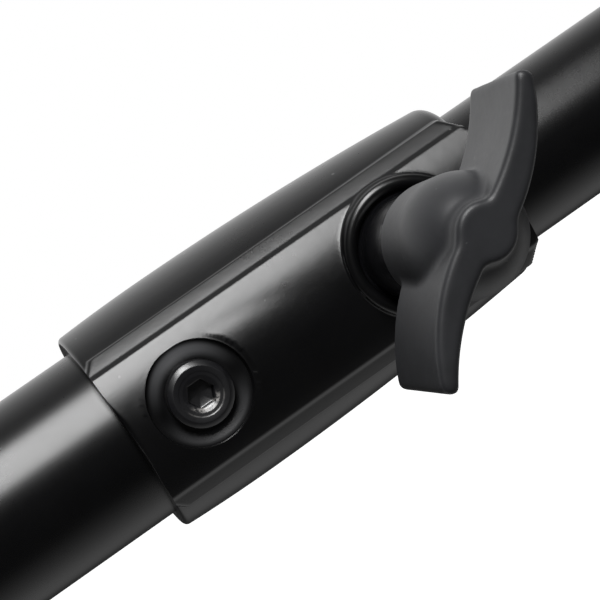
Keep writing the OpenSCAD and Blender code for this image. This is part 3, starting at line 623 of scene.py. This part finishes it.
def knob_field(x, y, z):
    """Below zero inside the knob: the blended lower of hub and wings, with a draft of 1 in 25."""
    r = np.hypot(x, y)
    wings = r - DISC_R
    for s in (1, -1):
        bulge = np.hypot(s * x - BULGE[0], s * y - BULGE[1]) - BULGE[2]
        hollow = HOLLOW[2] - np.hypot(s * x - HOLLOW[0], s * y - HOLLOW[1])
        half = np.maximum(-s * y, -s * x - WING_BACK)
        wing = blend_max(blend_max(bulge, hollow, 0.4), half, 0.4)
        wings = blend_min(wings, wing, 1.0)
    wings = wings - (KNOB_H - z) * DRAFT + 0.25
    tips = np.abs(y) - HALF_SPAN + TIP_DRAFT * (KNOB_H - z)
    for cut, blend in ((tips, 1.2), (z - KNOB_H, 1.1), (WING_FOOT - z, 1.2)):
        wings = blend_max(wings, cut, blend)
    side = r - HUB_R - (DOME_R - HUB_R) * np.clip(z / DOME_FOOT, 0, 1)
    up = np.maximum(z - DOME_FOOT, 0)
    dome = (np.sqrt((r / DOME_R) ** 2 + (up / DOME_H) ** 2) - 1) * DOME_R
    hub = blend_max(np.where(z < DOME_FOOT, side, dome), -z, 1.0)
    stud = STUD_R - r - 50 * (z > STUD_DEPTH)
    return blend_max(blend_min(hub, wings, 0.9), stud, 0.01)


knob_skin = skin_over(knob_field, (-12, -24, -1), (12, 24, 28.6), 0.4)


def turned(part, degrees, lift):
    """Turns a part about local Z and lifts it: (x cos t - y sin t, x sin t + y cos t, z + lift)."""
    p, f = part
    c, s = math.cos(math.radians(degrees)), math.sin(math.radians(degrees))
    return np.stack([c * p[:, 0] - s * p[:, 1], s * p[:, 0] + c * p[:, 1], p[:, 2] + lift], 1), f


def leaning(part, foot, along, up):
    """Leans a part that stands along local Z: each mm of height above foot moves a point by
    along in local X and up in local Y."""
    p, f = part
    height = p[:, 2] - foot
    return np.stack([p[:, 0] + along * height, p[:, 1] + up * height, p[:, 2]], 1), f


leant = leaning(turned(knob_skin, -34.8, BOSS_TOP + 1.2), PAD_H, LEAN_X, LEAN_UP)
clamp_knob = piece("clamp_wing_knob", [facing_front(leant, KNOB_X)],
                   ["clamp_knob"])
swivel_knob = piece("swivel_wing_knob", [facing_front(turned(knob_skin, 90, 27.2), SWIVEL_X)],
                    ["swivel_knob"])
tilt_knob = piece("tilt_wing_knob", [facing_front(turned(knob_skin, -60, 22), TILT_X)],
                  ["tilt_knob"])

# %% [markdown]
# Finishes. An effect that several finishes use is a node group: it reads the piece's own
# coordinates in metres, and gives out a height, a mask or a roughness. The shader itself,
# with its fixed numbers, stays in each material.

# %% Node group helper
def new_group(name, inputs, outputs):
    """A shader node group with float inputs (name, value) and float outputs (names), and its
    input and output nodes."""
    tree = bpy.data.node_groups.new(name, "ShaderNodeTree")
    kind = "NodeSocketFloat"
    for label, value in inputs:
        socket = tree.interface.new_socket(label, in_out="INPUT", socket_type=kind)
        socket.default_value = value
    for label in outputs:
        tree.interface.new_socket(label, in_out="OUTPUT", socket_type=kind)
    return tree, tree.nodes.new("NodeGroupInput"), tree.nodes.new("NodeGroupOutput")


def set_inputs(tree, node, values):
    """Fills a node's inputs from pairs (key, value), where a value is a number or a socket."""
    for key, value in values:
        if isinstance(value, (int, float)):
            node.inputs[key].default_value = value
        else:
            tree.links.new(value, node.inputs[key])


def coordinates(tree, kind="Object"):
    """Sockets X, Y and Z of a texture coordinate, by default the piece's own, in metres."""
    xyz = tree.nodes.new("ShaderNodeSeparateXYZ")
    tree.links.new(tree.nodes.new("ShaderNodeTexCoord").outputs[kind], xyz.inputs[0])
    return [xyz.outputs[axis] for axis in "XYZ"]


def noise(tree, scale, detail=2.0, rough=0.5, stretch=None):
    """Noise on the piece's own coordinates. scale is a number, or a group's input socket."""
    place = tree.nodes.new("ShaderNodeTexCoord").outputs["Object"]
    if stretch:
        mapping = tree.nodes.new("ShaderNodeMapping")
        mapping.inputs["Scale"].default_value = stretch
        tree.links.new(place, mapping.inputs["Vector"])
        place = mapping.outputs["Vector"]
    tex = tree.nodes.new("ShaderNodeTexNoise")
    tree.links.new(place, tex.inputs["Vector"])
    set_inputs(tree, tex, [("Detail", detail), ("Roughness", rough), ("Scale", scale)])
    return tex.outputs["Fac"]


def sums(tree, operation, *values):
    """A Math node over sockets and numbers."""
    node = tree.nodes.new("ShaderNodeMath")
    node.operation = operation
    set_inputs(tree, node, enumerate(values))
    return node.outputs[0]


def between(tree, value, low, high, to_low, to_high):
    """Smooth step of value from low..high to to_low..to_high."""
    node = tree.nodes.new("ShaderNodeMapRange")
    node.interpolation_type = "SMOOTHSTEP"
    set_inputs(tree, node, [("Value", value), ("From Min", low), ("From Max", high),
                            ("To Min", to_low), ("To Max", to_high)])
    return node.outputs["Result"]


def mix_colour(tree, factor, a, b):
    """Colour a (1 - factor) + b factor. Each colour is a socket or a tuple (r, g, b)."""
    node = tree.nodes.new("ShaderNodeMix")
    node.data_type = "RGBA"
    tree.links.new(factor, node.inputs["Factor"])
    for label, colour in (("A", a), ("B", b)):
        if isinstance(colour, tuple):
            node.inputs[label].default_value = (*colour, 1)
        else:
            tree.links.new(colour, node.inputs[label])
    return node.outputs["Result"]


# %% [markdown]
# The shared effects. Paint peel is the faint ripple of sprayed paint. Grain is the fine pebble
# of powder coat and moulded plastic. Handling makes some places a little duller.
# Specks are dust and tiny chips, a few tenths of a millimetre across. Turning marks are
# fine rings across an axis.

# %% Shared effects
peel, peel_in, peel_out = new_group("paint_peel", [("Size", 420.0), ("Fine Share", 0.3)], ["Height"])
wide = noise(peel, peel_in.outputs["Size"], 1.0)
fine = noise(peel, sums(peel, "MULTIPLY", peel_in.outputs["Size"], 6.0), 2.0)
height = sums(peel, "ADD", wide, sums(peel, "MULTIPLY", fine, peel_in.outputs["Fine Share"]))
peel.links.new(height, peel_out.inputs["Height"])

grain, grain_in, grain_out = new_group("fine_grain", [("Size", 2600.0)], ["Height"])
grain.links.new(noise(grain, grain_in.outputs["Size"], 3.0, 0.6), grain_out.inputs["Height"])

handling, handling_in, handling_out = new_group(
    "handling", [("Roughness", 0.3), ("Spread", 0.05)], ["Roughness"])
smudge = sums(handling, "SUBTRACT", noise(handling, 55.0, 4.0, 0.6), 0.5)
scuff = sums(handling, "SUBTRACT", noise(handling, 900.0, 2.0, 0.5), 0.5)
mixed = sums(handling, "ADD", smudge, sums(handling, "MULTIPLY", scuff, 0.6))
spread = sums(handling, "MULTIPLY", mixed, handling_in.outputs["Spread"])
rough = sums(handling, "ADD", handling_in.outputs["Roughness"], spread)
handling.links.new(rough, handling_out.inputs["Roughness"])

specks, specks_in, specks_out = new_group("specks", [("Size", 700.0), ("Amount", 0.1)], ["Mask"])
cells = specks.nodes.new("ShaderNodeTexVoronoi")
specks.links.new(specks.nodes.new("ShaderNodeTexCoord").outputs["Object"], cells.inputs["Vector"])
specks.links.new(specks_in.outputs["Size"], cells.inputs["Scale"])
limit = sums(specks, "ADD", 0.36, specks_in.outputs["Amount"])
some = sums(specks, "LESS_THAN", noise(specks, 300.0, 2.0, 0.6), limit)
dots = between(specks, cells.outputs["Distance"], 0.06, 0.22, 1.0, 0.0)
specks.links.new(sums(specks, "MULTIPLY", dots, some), specks_out.inputs["Mask"])

turning, turning_in, turning_out = new_group("turning_marks", [("Size", 1.0)], ["Height"])
marks = noise(turning, 90.0, 4.0, 0.7, stretch=(60, 0.6, 0.6))
scaled = sums(turning, "MULTIPLY", marks, turning_in.outputs["Size"])
turning.links.new(scaled, turning_out.inputs["Height"])


# %% [markdown]
# One helper builds a finish from a Principled shader: fixed values go on the shader's own
# sockets, and the groups feed only roughness, colour and the height of a Bump node.

# %% Finish helper
def place_group(tree, group, **values):
    """A group placed in a material, with its own input values."""
    node = tree.nodes.new("ShaderNodeGroup")
    node.node_tree = group
    for label, v in values.items():
        node.inputs[label.replace("_", " ")].default_value = v
    return node


def finish_of(name, color, roughness, spread=0.05, metallic=0.0, ior=1.5, bumps=(), dust=None,
              tint=0.12, **fixed):
    """A Principled material whose colour varies by the share tint. bumps are (group, values,
    distance in mm); dust is (values, colour)."""
    mat = bpy.data.materials.new(name)
    mat.use_nodes = True
    tree = mat.node_tree
    shader = tree.nodes["Principled BSDF"]
    shader.inputs["Metallic"].default_value = metallic
    shader.inputs["IOR"].default_value = ior
    for label, v in fixed.items():
        shader.inputs[label.replace("_", " ")].default_value = v
    hand = place_group(tree, handling, Roughness=roughness, Spread=spread)
    tree.links.new(hand.outputs["Roughness"], shader.inputs["Roughness"])
    dark, light = (tuple(c * k for c in color) for k in (1 - tint, 1 + tint))
    cloud = between(tree, noise(tree, 130.0, 4.0, 0.6), 0.35, 0.65, 0.0, 1.0)
    colour = mix_colour(tree, cloud, dark, light)
    if dust:
        mask = place_group(tree, specks, **dust[0]).outputs["Mask"]
        colour = mix_colour(tree, mask, colour, dust[1])
    tree.links.new(colour, shader.inputs["Base Color"])
    normal = None
    for group, values, distance in bumps:
        bump = tree.nodes.new("ShaderNodeBump")
        bump.inputs["Strength"].default_value = 1.0
        bump.inputs["Distance"].default_value = distance * MM
        tree.links.new(place_group(tree, group, **values).outputs["Height"], bump.inputs["Height"])
        if normal:
            tree.links.new(normal, bump.inputs["Normal"])
        normal = bump.outputs["Normal"]
    if normal:
        tree.links.new(normal, shader.inputs["Normal"])
    return mat


# %% [markdown]
# The finishes themselves, one for each material of the arm.

# %% Finishes
tube_paint = finish_of("tube_satin_black", (0.0022, 0.0022, 0.0025), 0.28, 0.05, ior=1.46,
                       bumps=[(peel, dict(Size=300.0, Fine_Share=0.25), 0.010)],
                       dust=(dict(Size=500.0, Amount=-0.05), (0.05, 0.05, 0.05)))
collar_paint = finish_of("collar_gloss_black", (0.0022, 0.0022, 0.0025), 0.285, 0.06,
                         bumps=[(peel, dict(Size=420.0, Fine_Share=0.35), 0.014)],
                         dust=(dict(Size=600.0, Amount=-0.04), (0.06, 0.06, 0.06)))
boss_gloss = finish_of("boss_gloss_black", (0.006, 0.006, 0.007), 0.16, 0.05,
                       bumps=[(peel, dict(Size=500.0, Fine_Share=0.3), 0.006)],
                       dust=(dict(Size=900.0, Amount=0.02), (0.16, 0.16, 0.17)))
knob_matte = finish_of("knob_matte_grey", (0.0185, 0.019, 0.021), 0.46, 0.10, ior=1.46,
                       bumps=[(grain, dict(Size=3400.0), 0.010),
                              (peel, dict(Size=240.0, Fine_Share=0.2), 0.006)],
                       dust=(dict(Size=420.0, Amount=-0.02), (0.055, 0.056, 0.06)))
screw_oxide = finish_of("screw_black_oxide", (0.003, 0.003, 0.004), 0.35, 0.12, ior=1.75,
                        bumps=[(grain, dict(Size=1500.0), 0.012)])
powder_coat = finish_of("bracket_powder_coat", (0.016, 0.016, 0.018), 0.42, 0.10,
                        bumps=[(peel, dict(Size=900.0, Fine_Share=0.5), 0.030)],
                        dust=(dict(Size=500.0, Amount=0.0), (0.07, 0.07, 0.07)))
cast_coat = finish_of("casting_powder_coat", (0.015, 0.015, 0.017), 0.40, 0.10,
                      bumps=[(peel, dict(Size=650.0, Fine_Share=0.5), 0.036)],
                      dust=(dict(Size=450.0, Amount=0.0), (0.07, 0.07, 0.07)))
nylon_white = finish_of("nylon_natural", (0.74, 0.72, 0.66), 0.45, 0.08,
                        bumps=[(grain, dict(Size=1800.0), 0.006)], Subsurface_Weight=0.1)
zinc_bright = finish_of("zinc_plate", (0.56, 0.57, 0.60), 0.30, 0.14, metallic=1.0,
                        bumps=[(turning, dict(Size=1.0), 0.006), (grain, dict(Size=900.0), 0.004)])
bronze_dull = finish_of("sintered_bronze", (0.50, 0.33, 0.17), 0.42, 0.12, metallic=1.0,
                        bumps=[(grain, dict(Size=1600.0), 0.010)])
brass_turned = finish_of("turned_brass", (0.70, 0.53, 0.24), 0.26, 0.10, metallic=1.0,
                         bumps=[(turning, dict(Size=1.0), 0.006)])
fibre_brown = finish_of("friction_fibre_pressed", (0.17, 0.10, 0.07), 0.78, 0.10, tint=0.35,
                        bumps=[(grain, dict(Size=700.0), 0.060)])
plug_anodised = finish_of("plug_black_anodised", (0.030, 0.030, 0.033), 0.36, 0.08, metallic=0.6,
                          bumps=[(turning, dict(Size=1.0), 0.005)])
nickel_bright = finish_of("spigot_bright_nickel", (0.66, 0.64, 0.61), 0.14, 0.08, metallic=1.0,
                          bumps=[(turning, dict(Size=1.0), 0.003)])

# %% [markdown]
# Two marks lie round the collar's screw. The dish carries a painted sheen, a greyish tint
# that stands in for light its walls reflect: strongest above and below the screw, and
# lighter on the upper side, where the lamp reaches the wall less. The hex key has worn
# the oxide off the lower side of the socket's mouth, where bare steel shows in spots.

# %% Painted sheen and wear round the screw
# the first radii and colour are the dish's painted sheen, a tint that stands in for reflected light
SHEEN_RADII, MOUTH, LIP = (5.4, 6.8, 7.2, 8.2), (2.1, 2.3, 2.7, 2.95), (3.3, 3.42, 3.5, 3.62)
PAINTED_SHEEN_COLOUR, WEAR_COLOUR = (0.95, 0.96, 1.0), (0.24, 0.23, 0.22)


def ring_mask(tree, radii):
    """Smooth band round the screw's axis, on the front alone: over its four radii in mm it
    rises from the first to the second and falls from the third to the fourth. Gives the
    mask and (z / distance) squared."""
    x, y, z = coordinates(tree)
    dx = sums(tree, "SUBTRACT", x, SCREW_X * MM)
    across = sums(tree, "MULTIPLY", z, z)
    square = sums(tree, "ADD", sums(tree, "MULTIPLY", dx, dx), across)
    away = sums(tree, "SQRT", square)
    rise0, rise1, fall0, fall1 = (r * MM for r in radii)
    band = sums(tree, "MULTIPLY", between(tree, away, rise0, rise1, 0.0, 1.0),
                between(tree, away, fall0, fall1, 1.0, 0.0))
    front = between(tree, y, -15 * MM, -14 * MM, 1.0, 0.0)
    share = sums(tree, "DIVIDE", across, sums(tree, "ADD", square, 1e-9))
    return sums(tree, "MULTIPLY", band, front), share


def tint_colour(mat, amount, colour):
    """Mixes a colour over the material's base colour by a mask."""
    tree = mat.node_tree
    shader = tree.nodes["Principled BSDF"]
    before = shader.inputs["Base Color"].links[0].from_socket
    tree.links.new(mix_colour(tree, amount, before, colour), shader.inputs["Base Color"])


# painted sheen in the dish: a grey tint for reflected light, lighter above the screw's axis, where
# the lamp reaches the dish's wall less
tree = collar_paint.node_tree
band, share = ring_mask(tree, SHEEN_RADII)
sheen_lighter_above = between(tree, coordinates(tree)[2], -3 * MM, 3 * MM, 0.06, 0.12)
painted_sheen = sums(tree, "MULTIPLY", sums(tree, "MULTIPLY", band, share), sheen_lighter_above)
tint_colour(collar_paint, painted_sheen, PAINTED_SHEEN_COLOUR)

tree = screw_oxide.node_tree
lip = sums(tree, "MULTIPLY", ring_mask(tree, LIP)[0], 0.25)
rings = sums(tree, "ADD", ring_mask(tree, MOUTH)[0], lip)
spots = between(tree, noise(tree, 1500.0, 3.0, 0.6), 0.40, 0.56, 0.0, 1.0)
low = between(tree, coordinates(tree)[2], -2.2 * MM, -0.6 * MM, 1.0, 0.0)
worn = sums(tree, "MULTIPLY", rings, sums(tree, "MULTIPLY", spots, low))
tint_colour(screw_oxide, worn, WEAR_COLOUR)

# %% [markdown]
# Each CAD node that stays gets its finish on its own material slot. Its mesh is left alone:
# modifiers weld its loose triangles, round its edges a little and keep its flats flat. The
# table gives, under a name for each group of nodes, the finish, the nodes and the bevel's width in
# mm.

# %% Finishes on the pieces
finishes = {
    "bracket_black": (powder_coat, ["wall_plate", "bracket_lugs"], 0.5),
    "nylon": (nylon_white, ["lug_bushes", "reducer_bush", "inner_guide"], 0.15),
    "zinc_steel": (zinc_bright, ["swivel_bolt", "swivel_washers", "swivel_nut", "tilt_bolt",
                                 "swivel_stud", "tilt_washer", "clamp_stud", "guide_rivets",
                                 "plug_pin"], 0.2),
    "casting_black": (cast_coat, ["swivel_yoke", "boom_socket"], 0.6),
    "bronze": (bronze_dull, ["yoke_bushes"], 0.1),
    "brass": (brass_turned, ["swivel_shoe", "tilt_insert", "clamp_shoe"], 0.1),
    "friction_fibre": (fibre_brown, ["friction_discs"], 0.15),
    "plug_black": (plug_anodised, ["end_plug"], 0.15),
    "spigot_chrome": (nickel_bright, ["end_spigot", "tip_stud"], 0.15),
}


def paint(obj, mat):
    """Gives a piece or a CAD node one finish, on the object's own material slots."""
    if not obj.data.materials:
        obj.data.materials.append(None)
    for place in obj.material_slots:
        place.link = "OBJECT"
        place.material = mat


def soften(obj, width):
    """Weld, then a small bevel on edges over 35 degrees, then normals weighted by face area."""
    weld = obj.modifiers.new("weld", "WELD")
    weld.merge_threshold = 2e-6
    bevel = obj.modifiers.new("edges", "BEVEL")
    bevel.width, bevel.segments, bevel.limit_method = width * MM, 3, "ANGLE"
    bevel.angle_limit = math.radians(35)
    bevel.use_clamp_overlap = True
    obj.modifiers.new("flats", "WEIGHTED_NORMAL").keep_sharp = False


for mat, members, width in finishes.values():
    for node in members:
        paint(nodes[node], mat)
        soften(nodes[node], width)
for obj, mat in ((outer, tube_paint), (inner, tube_paint), (collar, collar_paint),
                 (screw, screw_oxide), (pair_of_screws, screw_oxide), (boss, boss_gloss),
                 (clamp_knob, knob_matte), (swivel_knob, knob_matte), (tilt_knob, knob_matte)):
    paint(obj, mat)

# %% [markdown]
# The stage: a pale floor that keeps the object's shadow and lies under the lowest pose. To
# the camera it also glows a little, so that it and the white world behind it join without
# a horizon. A card of the same finish lies just below the resting arm. The camera doesn't
# see it, and light passes it from below. In reflections both are darker in front of the
# arm than behind it, as in the photo.

# %% Floor and card
FLOOR_Z, CARD_Z, GLOW_X = -0.98, -0.12, 0.35


def floor_material(name, see_through):
    """Pale diffuse, plus a glow for camera rays that grows from 0.62 near GLOW_X to 1; for the
    rest a dark diffuse and a band of light along X. With see_through, rays from below pass."""
    mat = bpy.data.materials.new(name)
    mat.use_nodes = True
    tree = mat.node_tree
    tree.nodes.clear()
    out = tree.nodes.new("ShaderNodeOutputMaterial")
    path = tree.nodes.new("ShaderNodeLightPath")
    diffuse = tree.nodes.new("ShaderNodeBsdfDiffuse")
    glow = tree.nodes.new("ShaderNodeEmission")
    add = tree.nodes.new("ShaderNodeAddShader")
    x, y, _ = coordinates(tree)
    lit = sums(tree, "SUBTRACT", between(tree, y, -0.10, 0.03, 0.0, 0.60),
               between(tree, y, 0.02, 0.16, 0.0, 0.58))
    seen = path.outputs["Is Camera Ray"]
    dx = sums(tree, "SUBTRACT", x, GLOW_X)
    away = sums(tree, "SQRT", sums(tree, "ADD", sums(tree, "MULTIPLY", dx, dx),
                                   sums(tree, "MULTIPLY", y, y)))
    white = between(tree, away, 0.25, 1.1, 0.62, 1.0)
    strength = sums(tree, "ADD", sums(tree, "MULTIPLY", seen, white),
                    sums(tree, "MULTIPLY", sums(tree, "SUBTRACT", 1.0, seen), lit))
    tree.links.new(strength, glow.inputs["Strength"])
    shade = mix_colour(tree, seen, (0.03, 0.03, 0.03), (0.60, 0.60, 0.60))
    tree.links.new(shade, diffuse.inputs["Color"])
    tree.links.new(diffuse.outputs[0], add.inputs[0])
    tree.links.new(glow.outputs[0], add.inputs[1])
    last = add
    if see_through:
        last = tree.nodes.new("ShaderNodeMixShader")
        below = tree.nodes.new("ShaderNodeNewGeometry").outputs["Backfacing"]
        clear = tree.nodes.new("ShaderNodeBsdfTransparent").outputs[0]
        set_inputs(tree, last, [(0, below), (1, add.outputs[0]), (2, clear)])
    tree.links.new(last.outputs[0], out.inputs["Surface"])
    return mat


def level(name, height, see_through):
    """Square of 16 m at one height, in metres."""
    mesh = bpy.data.meshes.new(name)
    corners = [(x, y, height) for x, y in ((-8, -8), (8, -8), (8, 8), (-8, 8))]
    mesh.from_pydata(corners, [], [(0, 1, 2, 3)])
    mesh.materials.append(floor_material("studio_" + name, see_through))
    obj = add_object(name, mesh)
    return obj


level("floor", FLOOR_Z, False)
card = level("card", CARD_Z, True)
card.visible_camera = card.visible_shadow = False

# %% [markdown]
# The world is white to the camera. In reflections it is bright behind the arm and dark in
# front, which is what gives black paint its shape: pale edges round a dark face. A Light
# Path node keeps the two apart, so the white backdrop puts no extra light on the object.

# %% World
world = bpy.data.worlds.new("studio")
bpy.context.scene.world = world
world.use_nodes = True
tree = world.node_tree
tree.nodes.clear()
sky = tree.nodes.new("ShaderNodeBackground")
path = tree.nodes.new("ShaderNodeLightPath")
behind = between(tree, coordinates(tree, "Generated")[1], -0.25, 0.9, 0.008, 1.1)
dim = sums(tree, "MULTIPLY", behind, path.outputs["Is Glossy Ray"])
ambient = sums(tree, "MULTIPLY", path.outputs["Is Diffuse Ray"], 0.22)
seen = sums(tree, "MAXIMUM", path.outputs["Is Camera Ray"], path.outputs["Is Transmission Ray"])
total = sums(tree, "ADD", seen, sums(tree, "ADD", dim, ambient))
tree.links.new(total, sky.inputs["Strength"])
sky.inputs["Color"].default_value = (1, 1, 1, 1)
tree.links.new(sky.outputs[0], tree.nodes.new("ShaderNodeOutputWorld").inputs["Surface"])

# %% [markdown]
# One tall softbox in front and above makes the long highlight on the tubes. Its edges
# follow from the tube's own picture: the highlight ends where the surface leans back
# about 18 and 39 degrees, so the softbox fills the heights from 30 to 72 degrees.

# %% Softbox
def softbox(name, target, azimuth, elevation, distance, width, height, watts):
    """A rectangular area lamp that looks at target from azimuth (from -Y, to +X) and elevation."""
    lamp = bpy.data.lights.new(name, "AREA")
    lamp.shape, lamp.size, lamp.size_y, lamp.energy = "RECTANGLE", width, height, watts
    obj = add_object(name, lamp)
    a, e = math.radians(azimuth), math.radians(elevation)
    back = np.array([math.sin(a) * math.cos(e), -math.cos(a) * math.cos(e), math.sin(e)])
    side = np.array([math.cos(a), math.sin(a), 0])
    up = np.cross(back, side)
    axes = np.column_stack([side, up, back, np.array(target) + back * distance])
    obj.matrix_world = Matrix(np.vstack([axes, [0, 0, 0, 1]]).tolist())
    obj.visible_camera = False


softbox("key_softbox", (0.52, 0, 0), 4, 51, 2.2, 0.7, 1.73, 69)

# %% [markdown]
# The camera stands where the photo was taken from: a little to the left and above, turned
# about its own axis so that the tube runs up to the right. The lens is a long one.

# %% Camera
camera = add_object("camera", bpy.data.cameras.new("camera"))
camera.data.lens, camera.data.sensor_width = 152.15, 36
camera.data.clip_start, camera.data.clip_end = 0.02, 50
camera.matrix_world = Matrix([(0.81164, 0.56537, -0.14695, 0.50207),
                              (-0.18131, 0.00467, -0.98341, -0.39868),
                              (-0.55531, 0.82483, 0.10630, 0.04425), (0, 0, 0, 1)])
bpy.context.scene.camera = camera
bpy.context.scene.view_settings.view_transform = "Standard"
